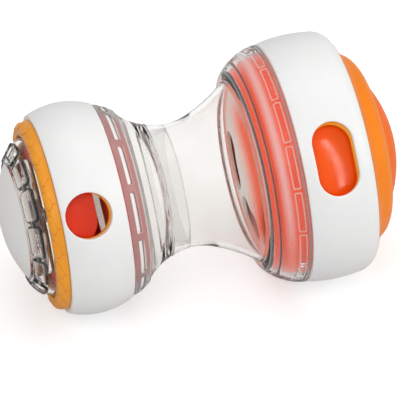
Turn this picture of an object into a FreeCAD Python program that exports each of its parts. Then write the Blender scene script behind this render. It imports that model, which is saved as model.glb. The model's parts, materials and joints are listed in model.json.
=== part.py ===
import FreeCAD, Part
import math
import os
from FreeCAD import Vector

# A hollow dumbbell toy that lies on its two wheels. All lengths are in millimetres.
# Each piece is drawn along the toy's own axis: x runs from the small wheel to the large one,
# x = 0 lies in the waist, and r is the distance from the axis.

# Driving dimensions of the waist
waist_radius = 29.1
lip_height = 2.1
lip_x = -20.7
waist_narrow_x = -12.5
spigot_length = 8.2
seal_thickness = 1.0

# Driving dimensions of the large half
large_crest_radius = 57.6
large_funnel_x = 0.9
large_funnel_radius = 31.4
large_crease_x = 19.0
large_crease_radius = 41.9
large_shoulder_length = 18.7
large_riser_height = 4.0
large_mouth_rim = 3.6
large_band_width = 32.2
large_band_wall = 3.0
large_outlet_width = 18.9
large_outlet_length = 34.0
large_outlet_place = 0.475
large_cap_height = 12.4
large_hub_radius = 30.8
large_hub_height = 9.2
large_lip_height = 4.7

# Driving dimensions of the small half
small_crest_radius = 49.3
small_shoulder_length = 20.9
small_mouth_rim = 4.6
small_band_width = 29.5
small_band_wall = 5.2
small_outlet_radius = 10.6
small_outlet_place = 0.59
small_cover_height = 14.4
small_hub_radius = 26.7
small_hub_height = 7.3
small_cup_depth = 11.3

# Walls, clearances and fixings that several pieces share
clear_wall = 2.2
liner_wall = 2.2
drum_wall = 2.2
disc_wall = 1.6
cap_wall = 2.0
skirt_length = 3.0
seat_gap = 0.1
run_gap = 0.3
drum_gap = 0.4
web_gap = 0.4
ring_width = 1.6
ring_depth = 1.5
pivot_radius = 3.0
pivot_head_radius = 5.5
pivot_head_height = 2.6
pivot_thread_radius = 1.75
pivot_depth = 8.0
pivot_boss_radius = 6.5
washer_thickness = 0.8
washer_radius = 8.0
screw_radius = 1.2
screw_head_radius = 2.6
screw_head_height = 1.0
screw_boss_radius = 3.0
cap_screw_count = 4
cell_count = 12
cell_width = 6.4
cell_gap = 2.2
cell_height = 0.9
pocket_count = 12
pocket_depth = 0.8

# Angle of each outlet round the axis, from straight up towards the front
small_outlet_angle = 58.4
large_outlet_angle = 56.4
# The liner's port sits a little lower and nearer to the waist than the hole in the band
liner_port_shift = 0.9
liner_port_turn = 1.5
# The drums' ports are keyholes: a wide hole and a narrow neck that runs on round the drum
neck_width = 5.4
small_neck_shift = 7.0
small_neck_corner = 11.0
large_port_turn = 180.0
# Angles of the windows in the disc and in the floor of the cup
large_window_angles = (116.0, 180.0, 244.0)
small_window_angles = (0.0, 120.0, 240.0)

# Farthest that a round outline may stray from its arc
round_error = 0.12


def circle_through(a, b, c):
    """Centre and radius of the circle through three points of an outline."""
    (ax, ay), (bx, by), (cx, cy) = a, b, c
    d = 2 * (ax * (by - cy) + bx * (cy - ay) + cx * (ay - by))
    ux = ((ax**2 + ay**2) * (by - cy) + (bx**2 + by**2) * (cy - ay) + (cx**2 + cy**2) * (ay - by)) / d
    uy = ((ax**2 + ay**2) * (cx - bx) + (bx**2 + by**2) * (ax - cx) + (cx**2 + cy**2) * (bx - ax)) / d
    return (ux, uy), math.hypot(ax - ux, ay - uy)


def at(centre, radius, angle):
    """Point of a circle in the plane of an outline."""
    return centre[0] + radius * math.cos(angle), centre[1] + radius * math.sin(angle)


def arc(a, b, c):
    """Points of an outline along the arc from a through b to c, as few as the allowed error lets."""
    centre, radius = circle_through(a, b, c)
    first, middle, last = [math.atan2(r - centre[1], x - centre[0]) for x, r in (a, b, c)]
    sweep = (last - first) % (2 * math.pi)
    if (middle - first) % (2 * math.pi) > sweep:
        sweep -= 2 * math.pi
    count = math.ceil(abs(sweep) / (2 * math.acos(1 - round_error / radius)))
    return [a] + [at(centre, radius, first + sweep * i / count) for i in range(1, count)] + [c]


def drawn_in(points, distance):
    """Three points of an arc, moved towards its centre by a distance."""
    centre, radius = circle_through(*points)
    k = 1 - distance / radius
    return [(centre[0] + (x - centre[0]) * k, centre[1] + (r - centre[1]) * k) for x, r in points]


def dome(apex_x, edge_x, edge_radius):
    """Points of a round dome from its edge to a small flat at its apex."""
    height = abs(apex_x - edge_x)
    radius = (edge_radius**2 + height**2) / (2 * height)
    side = 1 if apex_x > edge_x else -1
    spread = math.asin(edge_radius / radius)
    count = math.ceil(spread / (2 * math.acos(1 - round_error / radius)) - 0.5)
    angles = [spread * (i + 0.5) / (count + 0.5) for i in range(count, -1, -1)]
    points = [(apex_x - side * radius * (1 - math.cos(a)), radius * math.sin(a)) for a in angles]
    return points + [(points[-1][0], 0.0)]


def revolved(*steps):
    """Solid of revolution about the axis. Each step of its outline is a point or a list of points."""
    outline = []
    for step in steps:
        outline += step if isinstance(step, list) else [step]
    corners = [Vector(x, 0, r) for x, r in outline]
    corners = [p for i, p in enumerate(corners) if p.distanceToPoint(corners[i - 1]) > 1e-6]
    face = Part.Face(Part.makePolygon(corners + corners[:1]))
    solid = face.revolve(Vector(0, 0, 0), Vector(1, 0, 0), 360)
    return solid if solid.Volume > 0 else solid.reversed()


def tube(x0, x1, inner, outer):
    """Plain ring about the axis."""
    return revolved((x0, inner), (x1, inner), (x1, outer), (x0, outer))


def rod(x0, x1, radius, offset=0.0):
    """Cylinder along the axis, or beside it by an offset."""
    return Part.makeCylinder(radius, x1 - x0, Vector(x0, 0, offset), Vector(1, 0, 0))


def turned(shape, degrees):
    """A copy turned about the toy's axis."""
    copy = shape.copy()
    copy.rotate(Vector(0, 0, 0), Vector(1, 0, 0), degrees)
    return copy


def around(shape, count, first=0.0):
    """Copies spread evenly about the axis."""
    return [turned(shape, first + 360.0 * i / count) for i in range(count)]


def swept(points, degrees):
    """Part of a solid of revolution, centred on the upright plane."""
    corners = [Vector(x, 0, r) for x, r in points]
    face = Part.Face(Part.makePolygon(corners + corners[:1]))
    return turned(face.revolve(Vector(0, 0, 0), Vector(1, 0, 0), degrees), -degrees / 2)


def sector(x0, x1, inner, outer, degrees):
    """Part of a plain ring."""
    return swept([(x0, inner), (x1, inner), (x1, outer), (x0, outer)], degrees)


def round_hole(x, radius, inner, outer):
    """Cutter for a round hole through a wall, pointing straight up."""
    return Part.makeCylinder(radius, outer - inner, Vector(x, 0, inner))


def long_hole(x, width, length, inner, outer):
    """Cutter for a hole with round ends, its long side round the wheel."""
    half = (length - width) / 2
    block = Part.makeBox(width, 2 * half, outer - inner, Vector(x - width / 2, -half, inner))
    ends = [Part.makeCylinder(width / 2, outer - inner, Vector(x, y, inner)) for y in (-half, half)]
    return block.multiFuse(ends).removeSplitter()


# Radii at the waist
lip_radius = waist_radius + lip_height
socket_radius = waist_radius - 1.6
spigot_radius = socket_radius - run_gap

# Stations of the large half along the axis
large_riser_x = large_crease_x + 1.2
large_riser_radius = large_crease_radius + large_riser_height
large_shoulder_x = large_crease_x + large_shoulder_length
large_shoulder_radius = large_crest_radius - 1.7
large_ledge_x = large_crease_x + 3.6
large_cone_x = large_shoulder_x - 6.7
large_mouth_radius = large_riser_radius - large_mouth_rim
large_bore = large_crest_radius - large_band_wall
large_spigot_radius = large_bore - large_lip_height
large_band_x0 = large_shoulder_x + run_gap
large_band_x1 = large_band_x0 + large_band_width
large_liner_x0 = large_shoulder_x + skirt_length + run_gap
large_liner_bore = large_bore - seat_gap - liner_wall
large_drum_radius = large_liner_bore - drum_gap
large_outlet_x = large_band_x0 + large_outlet_place * large_band_width
large_flange_x = large_band_x1 - 2.9
large_drum_x1 = large_flange_x - 3.1
large_hub_x = large_band_x1 + large_cap_height
large_web_x = large_drum_x1 + 5.7
large_screw_circle = large_spigot_radius - cap_wall - screw_boss_radius - 0.4

# Stations of the small half, which runs the other way
small_step_x = lip_x - seal_thickness - seat_gap
small_shoulder_x = small_step_x - small_shoulder_length - 0.1
small_shoulder_radius = small_crest_radius - 4.4
small_knee = (small_shoulder_x + 9.3, small_shoulder_radius - 5.1)
small_ledge_x = small_knee[0] - 1.0
small_mouth_radius = small_knee[1] - small_mouth_rim
small_bore = small_crest_radius - small_band_wall
small_band_x0 = small_shoulder_x - run_gap
small_band_x1 = small_band_x0 - small_band_width
small_liner_x0 = small_shoulder_x - skirt_length - run_gap
small_liner_bore = small_bore - seat_gap - liner_wall
small_drum_radius = small_liner_bore - drum_gap
small_drum_x1 = small_band_x1 - 1.4
small_outlet_x = small_band_x0 - small_outlet_place * small_band_width
small_hub_x = small_band_x1 - small_cover_height
small_web_x = small_drum_x1 - 2.0


def large_band_outline():
    """Outside of the large band: a long barrel and a rounded outer corner."""
    crest = (large_band_x0 + 0.38 * large_band_width, large_crest_radius)
    edge = (large_band_x1 - 7.7, large_crest_radius - 0.7)
    turn = (large_band_x1 - 2.6, large_crest_radius - 2.2)
    barrel = arc((large_band_x0, large_shoulder_radius), crest, edge)
    return barrel + arc(edge, turn, (large_band_x1, large_crest_radius - 4.7))


def small_band_outline():
    """Outside of the small band: one barrel arc."""
    crest = (small_band_x0 - 0.52 * small_band_width, small_crest_radius)
    return arc((small_band_x0, small_crest_radius - 3.5), crest, (small_band_x1, small_crest_radius - 3.0))


def large_clear_half():
    """Clear funnel with the waist socket, the stepped shoulder and the skirt that carries the wheel."""
    skirt_radius = large_bore - run_gap
    skirt_bore = large_liner_bore - 0.2
    waist = [(lip_x, lip_radius), (waist_narrow_x, waist_radius), (large_funnel_x, large_funnel_radius)]
    hollow = large_funnel_radius + 0.43 * (large_crease_radius - large_funnel_radius)
    bulge = (large_funnel_x + 0.52 * (large_crease_x - large_funnel_x), hollow)
    funnel = [waist[2], bulge, (large_crease_x, large_crease_radius)]
    rise = large_shoulder_radius - large_riser_radius
    run = large_shoulder_x - large_riser_x
    brow = (large_riser_x + 0.41 * run, large_riser_radius + 0.65 * rise)
    shoulder = [(large_riser_x, large_riser_radius), brow, (large_shoulder_x, large_shoulder_radius)]
    socket_x = lip_x + spigot_length + run_gap
    return revolved(
        (lip_x, socket_radius),
        arc(*waist),
        arc(*funnel),
        arc(*shoulder),
        (large_shoulder_x, skirt_radius),
        (large_shoulder_x + skirt_length, skirt_radius),
        (large_shoulder_x + skirt_length, skirt_bore),
        (large_cone_x, skirt_bore),
        (large_ledge_x, large_riser_radius + 0.3),
        (large_ledge_x, large_mouth_radius - 0.5),
        drawn_in(funnel, -clear_wall)[::-1],
        (socket_x, waist_radius - clear_wall),
        (socket_x, socket_radius),
    )


def large_shutter_drum():
    """Cup fixed in the large clear half. The wheel turns round it and its port meets the outlet."""
    edge_radius = large_drum_radius - 0.9
    bore = edge_radius - drum_wall
    groove = large_liner_bore - run_gap - ring_depth
    groove_x = large_drum_x1 - ring_width - seat_gap
    crown_x = (large_cone_x + groove_x) / 2
    seat_x = large_ledge_x + disc_wall + 2 * seat_gap
    boss_x = large_web_x - web_gap
    body = revolved(
        (large_ledge_x, large_mouth_radius),
        (large_ledge_x, large_riser_radius - seat_gap),
        arc((large_cone_x, edge_radius), (crown_x, large_drum_radius), (groove_x, edge_radius)),
        (groove_x, groove),
        (large_drum_x1, groove),
        (large_drum_x1, pivot_boss_radius),
        (boss_x, pivot_boss_radius),
        (boss_x, 0.0),
        (large_drum_x1 - drum_wall - 3.0, 0.0),
        (large_drum_x1 - drum_wall - 3.0, pivot_boss_radius - 2.0),
        (large_drum_x1 - drum_wall, pivot_boss_radius),
        (large_drum_x1 - drum_wall, bore),
        (large_cone_x + 1.5, bore),
        (seat_x, large_riser_radius - drum_wall - 1.0),
        (seat_x, large_mouth_radius),
    )
    body = body.cut(rod(boss_x - pivot_depth, boss_x, pivot_thread_radius + 0.05))
    port = large_drum_port(bore - 6.0, large_drum_radius + 3.0)
    return body.cut(turned(port, large_outlet_angle + large_port_turn))


def large_drum_port(inner, outer):
    """Keyhole port of the large drum, which faces away from the outlet at rest."""
    x = large_outlet_x - liner_port_shift
    wide = long_hole(x, large_outlet_width - 0.8, large_outlet_length - 0.8, inner, outer)
    neck = sector(x - neck_width / 2, x + neck_width / 2, inner, outer, 56.0)
    return wide.fuse(turned(neck, 28.0))


def windowed(disc, x, inner, outer, spread, angles):
    """A disc with a curved window at each of some angles, spread by an angle to both sides."""
    middle = (inner + outer) / 2
    half = (outer - inner) / 2
    window = sector(x - 5.0, x + 5.0, inner, outer, 2 * spread)
    ends = [turned(rod(x - 5.0, x + 5.0, half, middle), side * spread) for side in (-1, 1)]
    window = window.multiFuse(ends).removeSplitter()
    return disc.cut(Part.makeCompound([turned(window, angle) for angle in angles]))


def large_divider_disc():
    """Pale disc in the mouth of the large drum, with windows in its lower half."""
    outer = large_mouth_radius - seat_gap
    x = large_ledge_x + seat_gap
    return windowed(rod(x, x + disc_wall, outer), x, 0.54 * outer, outer - 5.0, 14.0, large_window_angles)


def large_drag_ring():
    """Soft ring in the corner of the drum that makes the wheel stiff to turn."""
    outer = large_liner_bore - run_gap
    x1 = large_drum_x1 - seat_gap
    return tube(x1 - ring_width + seat_gap, x1, outer - ring_depth + 0.05, outer)


def pivot_screw(x0, side):
    """Shoulder screw: the shoulder stands on the drum's boss, and the wheel's web turns on it."""
    tip_x = x0 - side * (pivot_depth - 0.5)
    head_x = x0 + side * (web_gap + cap_wall + washer_thickness + 2 * seat_gap)
    end_x = head_x + side * pivot_head_height
    socket_x = end_x - side * 1.5
    socket = pivot_head_radius * 0.45
    return revolved(
        (tip_x, 0.0),
        (tip_x, pivot_thread_radius),
        (x0, pivot_thread_radius),
        (x0, pivot_radius),
        (head_x, pivot_radius),
        (head_x, pivot_head_radius),
        (end_x, pivot_head_radius),
        (end_x, socket),
        (socket_x, socket),
        (socket_x, 0.0),
    )


def pivot_washer(x0, side):
    """Washer between the screw's head and the wheel's web."""
    near = x0 + side * (web_gap + cap_wall + seat_gap)
    far = near + side * washer_thickness
    return tube(min(near, far), max(near, far), pivot_radius + seat_gap, washer_radius)


def large_wheel_liner():
    """Tube under the white band, with the outlet's port and a flange for the cap's screws."""
    outer = large_bore - seat_gap
    flange = large_screw_circle - screw_boss_radius - 0.2
    body = revolved(
        (large_liner_x0, large_liner_bore),
        (large_liner_x0, outer),
        (large_flange_x, outer),
        (large_flange_x, flange),
        (large_flange_x - 1.7, flange),
        (large_flange_x - 1.7, large_liner_bore),
    )
    x = large_outlet_x - liner_port_shift
    port = long_hole(x, large_outlet_width, large_outlet_length, large_liner_bore - 5.0, outer + 5.0)
    hole = rod(large_flange_x - 5.0, large_flange_x + 5.0, screw_radius + 0.3, large_screw_circle)
    cuts = around(hole, cap_screw_count) + [turned(port, large_outlet_angle + liner_port_turn)]
    return body.cut(Part.makeCompound(cuts))


def large_wheel_band():
    """White barrel-shaped band with the long outlet and an inner lip at its outer end."""
    body = revolved(
        (large_band_x0, large_bore),
        large_band_outline(),
        (large_band_x1, large_spigot_radius + seat_gap),
        (large_flange_x + seat_gap, large_spigot_radius + seat_gap),
        (large_flange_x + seat_gap, large_bore),
    )
    outer = large_crest_radius + 5.0
    port = long_hole(large_outlet_x, large_outlet_width, large_outlet_length, 0.75 * large_bore, outer)
    return body.cut(turned(port, large_outlet_angle))


def large_end_cap():
    """Orange annular cap: sloped rim, rounded shoulder and, in the middle, a cup for the pivot."""
    cup = large_hub_radius - 1.9
    rim = large_crest_radius - 4.9
    crease = (large_band_x1 + 3.4, rim - 7.6)
    foot = (large_hub_x - 4.7, crease[1] - 3.0)
    crown = (large_hub_x, large_hub_radius + 0.4)
    brow = (large_hub_x - 1.3, 0.47 * crown[1] + 0.53 * foot[1])
    seat_x = large_flange_x + seat_gap
    ceiling = [
        (seat_x, large_spigot_radius - cap_wall),
        (large_band_x1, large_spigot_radius - cap_wall),
        (crease[0] - 0.8 * cap_wall, crease[1] - 0.65 * cap_wall),
        (foot[0] - 0.65 * cap_wall, foot[1] - 0.75 * cap_wall),
        (large_hub_x - 3.0, brow[1] - 0.5 * cap_wall),
        (large_hub_x - 3.0, cup + cap_wall),
    ]
    body = revolved(
        (large_web_x, pivot_radius + seat_gap),
        (large_web_x + cap_wall, pivot_radius + seat_gap),
        (large_web_x + cap_wall, cup),
        (large_hub_x, cup),
        arc(crown, brow, foot),
        crease,
        (large_band_x1 + seat_gap, rim),
        (large_band_x1 + seat_gap, large_spigot_radius),
        (seat_x, large_spigot_radius),
        ceiling,
        (large_web_x, cup + cap_wall),
    )
    hollow = revolved(ceiling, (seat_x, cup + cap_wall))
    boss = rod(seat_x, large_hub_x, screw_boss_radius, large_screw_circle).common(hollow)
    hole = rod(large_flange_x, large_band_x1 + 1.5, screw_radius + 0.05, large_screw_circle)
    body = body.multiFuse(around(boss, cap_screw_count)).removeSplitter()
    return body.cut(Part.makeCompound(around(hole, cap_screw_count)))


def hub_cap(hub_x, side, height, radius):
    """Domed cap that plugs into the cup in the middle of a wheel."""
    skirt = radius - 2.0
    foot_x = hub_x + side * seat_gap
    end_x = foot_x - side * 4.5
    roof_x = foot_x + side * (height - cap_wall - 0.6)
    return revolved(
        (foot_x, skirt),
        dome(foot_x + side * height, foot_x, radius),
        (roof_x, 0.0),
        (roof_x, 0.4 * radius),
        (foot_x, skirt - cap_wall),
        (end_x, skirt - cap_wall),
        (end_x, skirt),
    )


def large_cap_screws():
    """Screws from inside the wheel, through the liner's flange into the cap."""
    head_x = large_flange_x - 1.7
    shank = rod(head_x, large_band_x1 + 1.0, screw_radius, large_screw_circle)
    head = rod(head_x - screw_head_height, head_x, screw_head_radius, large_screw_circle)
    return Part.makeCompound(around(shank.fuse(head).removeSplitter(), cap_screw_count))


def waist_seal():
    """Soft ring between the large half's lip and the small half's step."""
    return tube(small_step_x + 0.05, lip_x - 0.05, spigot_radius + 0.05, lip_radius - 0.3)


def small_clear_half():
    """Clear funnel with the waist spigot, the flange with its row of pockets and the skirt."""
    skirt_radius = small_bore - run_gap
    throat = (small_step_x - 6.3, 0.58 * lip_radius + 0.42 * small_knee[1])
    funnel = [(small_step_x, lip_radius + 0.3), throat, small_knee]
    brow = (small_knee[0] - 3.8, small_knee[1] + 3.3)
    spigot_x = lip_x + spigot_length
    spigot_bore = spigot_radius - 1.8
    body = revolved(
        (spigot_x, spigot_bore),
        (spigot_x, spigot_radius),
        (small_step_x, spigot_radius),
        arc(*funnel),
        arc(small_knee, brow, (small_shoulder_x, small_shoulder_radius)),
        (small_shoulder_x, skirt_radius),
        (small_shoulder_x - skirt_length, skirt_radius),
        (small_shoulder_x - skirt_length, small_liner_bore),
        (small_shoulder_x + 1.6, small_liner_bore),
        (small_ledge_x, small_knee[1] - 2.1),
        (small_ledge_x, small_mouth_radius - 0.2),
        drawn_in(funnel, -clear_wall)[1],
        (small_step_x, spigot_bore),
    )
    return body.cut(Part.makeCompound(around(flange_pocket(), pocket_count, small_outlet_angle + 5.0)))


def flange_pocket():
    """Cutter for one shallow pocket in the sloping flange beside the small wheel."""
    x0 = small_shoulder_x + 3.2
    x1 = small_shoulder_x + 5.7
    edge = small_shoulder_radius - 0.5
    floor = [(x0, edge - pocket_depth), (x1, edge - pocket_depth - 1.2)]
    return swept(floor + [(x1, edge + 2.0), (x0, edge + 2.0)], 25.0)


def small_shutter_drum():
    """Cup fixed in the small clear half. The neck of its port lies under the outlet at rest."""
    radius = small_drum_radius
    bore = radius - drum_wall
    groove = small_liner_bore - run_gap - ring_depth
    groove_x = small_drum_x1 + ring_width + seat_gap
    front_x = small_ledge_x - seat_gap
    boss_x = small_web_x + web_gap
    body = revolved(
        (front_x, small_mouth_radius),
        (front_x, small_knee[1] - 2.1 - run_gap - 0.2),
        (small_shoulder_x + 1.4, radius),
        (groove_x, radius),
        (groove_x, groove),
        (small_drum_x1, groove),
        (small_drum_x1, pivot_boss_radius),
        (boss_x, pivot_boss_radius),
        (boss_x, 0.0),
        (small_drum_x1 + drum_wall + 3.0, 0.0),
        (small_drum_x1 + drum_wall + 3.0, pivot_boss_radius - 2.0),
        (small_drum_x1 + drum_wall, pivot_boss_radius),
        (small_drum_x1 + drum_wall, bore),
        (small_shoulder_x + 0.2, bore),
        (small_ledge_x - 3.9, small_mouth_radius),
    )
    body = body.cut(rod(boss_x, boss_x + pivot_depth, pivot_thread_radius + 0.05))
    return body.cut(turned(small_drum_port(bore - 3.0, radius + 3.0), small_outlet_angle))


def small_drum_port(inner, outer):
    """Keyhole port. At rest the outlet shows its neck and the rounded corner where it widens."""
    neck_x = small_outlet_x + small_neck_shift
    edge_x = neck_x - neck_width / 2
    neck = turned(sector(edge_x, neck_x + neck_width / 2, inner, outer, 62.0), 10.0)
    wide = turned(round_hole(small_outlet_x, small_outlet_radius, inner, outer), 42.0)
    flare = turned(sector(edge_x - small_neck_corner, edge_x, inner, outer, 39.0), 22.5)
    corner = turned(round_hole(edge_x - small_neck_corner, small_neck_corner, inner, outer), 3.0)
    return neck.multiFuse([wide, flare.cut(corner)])


def small_divider_cup():
    """Pale cup in the mouth of the small drum, with windows in its floor."""
    outer = small_mouth_radius - seat_gap
    bore = outer - disc_wall
    x1 = small_ledge_x - seat_gap
    x0 = x1 - small_cup_depth
    body = revolved(
        (x0, 0.0),
        (x0, outer),
        (x1, outer),
        (x1, bore),
        (x0 + disc_wall, bore),
        (x0 + disc_wall, 0.0),
    )
    return windowed(body, x0, 0.328 * bore, bore - 3.0, 25.0, small_window_angles)


def small_drag_ring():
    """Soft ring in the corner of the small drum."""
    outer = small_liner_bore - run_gap
    x0 = small_drum_x1 + seat_gap
    return tube(x0, x0 + ring_width - seat_gap, outer - ring_depth + 0.05, outer)


def small_wheel_liner():
    """Tube under the small band, with the round port."""
    outer = small_bore - seat_gap
    body = tube(small_band_x1, small_liner_x0, small_liner_bore, outer)
    port = round_hole(small_outlet_x - 0.5, small_outlet_radius - 0.3, small_liner_bore - 5.0, outer + 5.0)
    return body.cut(turned(port, small_outlet_angle))


def small_wheel_band():
    """White barrel-shaped band with the round outlet."""
    body = revolved((small_band_x0, small_bore), small_band_outline(), (small_band_x1, small_bore))
    port = round_hole(small_outlet_x, small_outlet_radius, 0.7 * small_bore, small_crest_radius + 5.0)
    return body.cut(turned(port, small_outlet_angle))


def small_grip_ring():
    """Orange ring at the outer end of the small wheel, with a lip that holds the clear cover."""
    base_x = small_band_x1 - seat_gap
    outer = small_bore + 0.2
    bore = small_liner_bore - seat_gap
    hook_x = small_band_x1 - 3.9
    bevel = (base_x - 2.3, outer - 0.6)
    face = (small_band_x1 - 5.5, outer - 4.1)
    return revolved(
        (base_x, bore),
        (base_x, outer),
        arc(bevel, (bevel[0] - 2.4, outer - 1.9), face),
        (face[0], bore - 3.7),
        (hook_x, bore - 3.7),
        (hook_x, bore),
    )


def cover_outline():
    """Three points of the cover's rounded outside, from the grip ring to the hub."""
    edge = (small_band_x1 - 4.0, small_liner_bore - seat_gap - 4.1)
    hub = (small_hub_x, small_hub_radius + 0.2)
    return [edge, (small_band_x1 - 10.0, 0.64 * edge[1] + 0.36 * hub[1]), hub]


def small_clear_cover():
    """Clear shoulder with a chain of raised cells, a rim under the grip ring and a cup for the pivot."""
    outer = cover_outline()
    inner = drawn_in(outer, 2.0)
    rim = small_liner_bore - 2 * seat_gap
    rim_x0 = small_band_x1 - 2.0
    rim_x1 = small_band_x1 - 3.8
    cup = small_hub_radius - 1.9
    body = revolved(
        (small_web_x, pivot_radius + seat_gap),
        (small_web_x - cap_wall, pivot_radius + seat_gap),
        (small_web_x - cap_wall, cup),
        (small_hub_x, cup),
        arc(*outer[::-1]),
        (rim_x1, outer[0][1]),
        (rim_x1, rim),
        (rim_x0, rim),
        (rim_x0, inner[0][1]),
        inner[1],
        (inner[2][0], cup + cap_wall),
        (small_web_x, cup + cap_wall),
    )
    cells = around(cell(), cell_count, small_outlet_angle + 15.0)
    return body.multiFuse([cell_rib()] + cells).removeSplitter()


def cover_strip(half_width, height):
    """Outline of a strip that lies on the middle of the cover and stands proud by a height."""
    centre, radius = circle_through(*cover_outline())
    ends = [math.atan2(r - centre[1], x - centre[0]) for x, r in cover_outline()]
    middle = ends[0] + 0.62 * (ends[2] - ends[0])
    spread = half_width / radius
    return [
        at(centre, radius - 1.0, middle - spread),
        at(centre, radius - 1.0, middle + spread),
        at(centre, radius + height, middle + spread),
        at(centre, radius + height, middle - spread),
    ]


def cell():
    """One raised cell: a rounded rectangle that follows the cover."""
    strip = cover_strip(cell_width / 2, cell_height)
    reach = 360.0 / cell_count - math.degrees(cell_gap / strip[2][1])
    block = swept(strip, reach)
    thickness = cell_height + 1.0
    corners = [edge for edge in block.Edges if abs(edge.Length - thickness) < 0.01]
    return block.makeFillet(1.9, corners)


def cell_rib():
    """Narrow raised rib that joins the cells into a chain."""
    return revolved(cover_strip(1.2, cell_height - 0.4))


def floor_tilt():
    """Angle of the axis, in degrees, at which the lowest edges of both bands lie on one level."""
    slopes = []
    for x0, r0 in small_band_outline():
        slopes.append(max(math.atan2(r1 - r0, x1 - x0) for x1, r1 in large_band_outline()))
    return math.degrees(min(slopes))


def lay_down(shapes):
    """Tilt the pieces as the toy rests, centre them over the origin and stand them on the floor."""
    for shape in shapes:
        shape.rotate(Vector(0, 0, 0), Vector(0, 1, 0), -floor_tilt())
    box = Part.makeCompound(shapes).optimalBoundingBox(False)
    for shape in shapes:
        shape.translate(Vector(-(box.XMin + box.XMax) / 2, -(box.YMin + box.YMax) / 2, -box.ZMin))


pieces = {
    "large_clear_half": large_clear_half(),
    "large_shutter_drum": large_shutter_drum(),
    "large_divider_disc": large_divider_disc(),
    "large_pivot_screw": pivot_screw(large_web_x - web_gap, 1),
    "large_drag_ring": large_drag_ring(),
    "large_wheel_liner": large_wheel_liner(),
    "large_wheel_band": large_wheel_band(),
    "large_end_cap": large_end_cap(),
    "large_hub_cap": hub_cap(large_hub_x, 1, large_hub_height, large_hub_radius),
    "large_pivot_washer": pivot_washer(large_web_x - web_gap, 1),
    "large_cap_screws": large_cap_screws(),
    "waist_seal": waist_seal(),
    "small_clear_half": small_clear_half(),
    "small_shutter_drum": small_shutter_drum(),
    "small_divider_cup": small_divider_cup(),
    "small_pivot_screw": pivot_screw(small_web_x + web_gap, -1),
    "small_drag_ring": small_drag_ring(),
    "small_wheel_liner": small_wheel_liner(),
    "small_wheel_band": small_wheel_band(),
    "small_grip_ring": small_grip_ring(),
    "small_clear_cover": small_clear_cover(),
    "small_hub_cap": hub_cap(small_hub_x, -1, small_hub_height, small_hub_radius),
    "small_pivot_washer": pivot_washer(small_web_x + web_gap, -1),
}
lay_down(list(pieces.values()))

os.makedirs("parts", exist_ok=True)
for name, shape in pieces.items():
    shape.exportStep("parts/" + name + ".step")
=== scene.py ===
import json
import math

import bmesh
import bpy
from bpy.props import FloatProperty, FloatVectorProperty, IntProperty, PointerProperty
from mathutils import Matrix, Vector

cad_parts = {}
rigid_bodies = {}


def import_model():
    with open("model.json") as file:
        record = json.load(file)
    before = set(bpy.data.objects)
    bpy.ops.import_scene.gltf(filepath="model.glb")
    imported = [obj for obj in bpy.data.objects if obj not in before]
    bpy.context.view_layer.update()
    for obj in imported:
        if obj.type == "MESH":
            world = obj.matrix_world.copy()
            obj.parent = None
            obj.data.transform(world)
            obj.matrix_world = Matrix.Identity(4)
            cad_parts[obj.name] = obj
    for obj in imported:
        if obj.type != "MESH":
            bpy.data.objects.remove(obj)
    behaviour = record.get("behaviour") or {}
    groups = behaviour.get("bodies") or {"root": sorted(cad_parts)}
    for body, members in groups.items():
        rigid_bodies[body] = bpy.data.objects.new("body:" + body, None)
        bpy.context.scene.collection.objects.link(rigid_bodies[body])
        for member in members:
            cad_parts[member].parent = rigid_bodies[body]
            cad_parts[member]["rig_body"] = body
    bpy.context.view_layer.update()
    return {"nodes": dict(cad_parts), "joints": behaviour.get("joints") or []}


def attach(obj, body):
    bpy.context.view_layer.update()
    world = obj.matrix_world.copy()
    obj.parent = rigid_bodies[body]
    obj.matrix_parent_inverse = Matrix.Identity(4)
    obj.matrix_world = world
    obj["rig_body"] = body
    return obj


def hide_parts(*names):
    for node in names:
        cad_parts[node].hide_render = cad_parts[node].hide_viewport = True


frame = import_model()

bl_info = {
    "name": "Slow Feeder Dumbbell Toy",
    "version": (1, 0, 0),
    "blender": (4, 5, 0),
    "location": "3D View > Sidebar > Feeder Toy",
    "description": "Models the clear halves, the white and orange wheels and the drums of a slow feeder toy",
    "category": "Add Mesh",
}

# Outlines are drawn in millimetres along the toy's own axis: x runs from the small wheel
# to the large one, x = 0 lies in the waist, and r is the distance from the axis.
MM = 0.001
# Where the large wheel's hinge sits along that axis
HINGE_STATION = 71.0
# How far off the axis an outlet's cutter ends, outside every piece
CUTTER_TOP = 75.0
# Distance within which points of an outline's copies are one, and points of a CAD mesh
SAME_IN_OUTLINE = 0.0005
SAME_IN_CAD = 0.000002
# Steps round the axis for the pieces with fine relief. The large clear half has fewer, which
# keeps it under 200,000 triangles.
FINE = 720
LARGE_FINE = 640
# Middle of the round outlet along the axis
SMALL_OUTLET_X = -60.5


# Sizes and colours that a user would change

def length_setting(name, description, default):
    """A length in metres."""
    return FloatProperty(name=name, description=description, default=default, unit="LENGTH")


def angle_setting(name, description, degrees):
    """An angle, given here in degrees."""
    return FloatProperty(name=name, description=description, default=math.radians(degrees), unit="ROTATION")


def power_setting(name, description, default):
    """A lamp's power in watts."""
    return FloatProperty(name=name, description=description, default=default, unit="POWER")


def count_setting(name, description, default):
    """How many like things stand round the axis."""
    return IntProperty(name=name, description=description, default=default, min=3)


def colour_setting(name, description, default):
    """A colour as red, green and blue from 0 to 1."""
    return FloatVectorProperty(
        name=name, description=description, default=default, subtype="COLOR", size=3, min=0, max=1)


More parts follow.
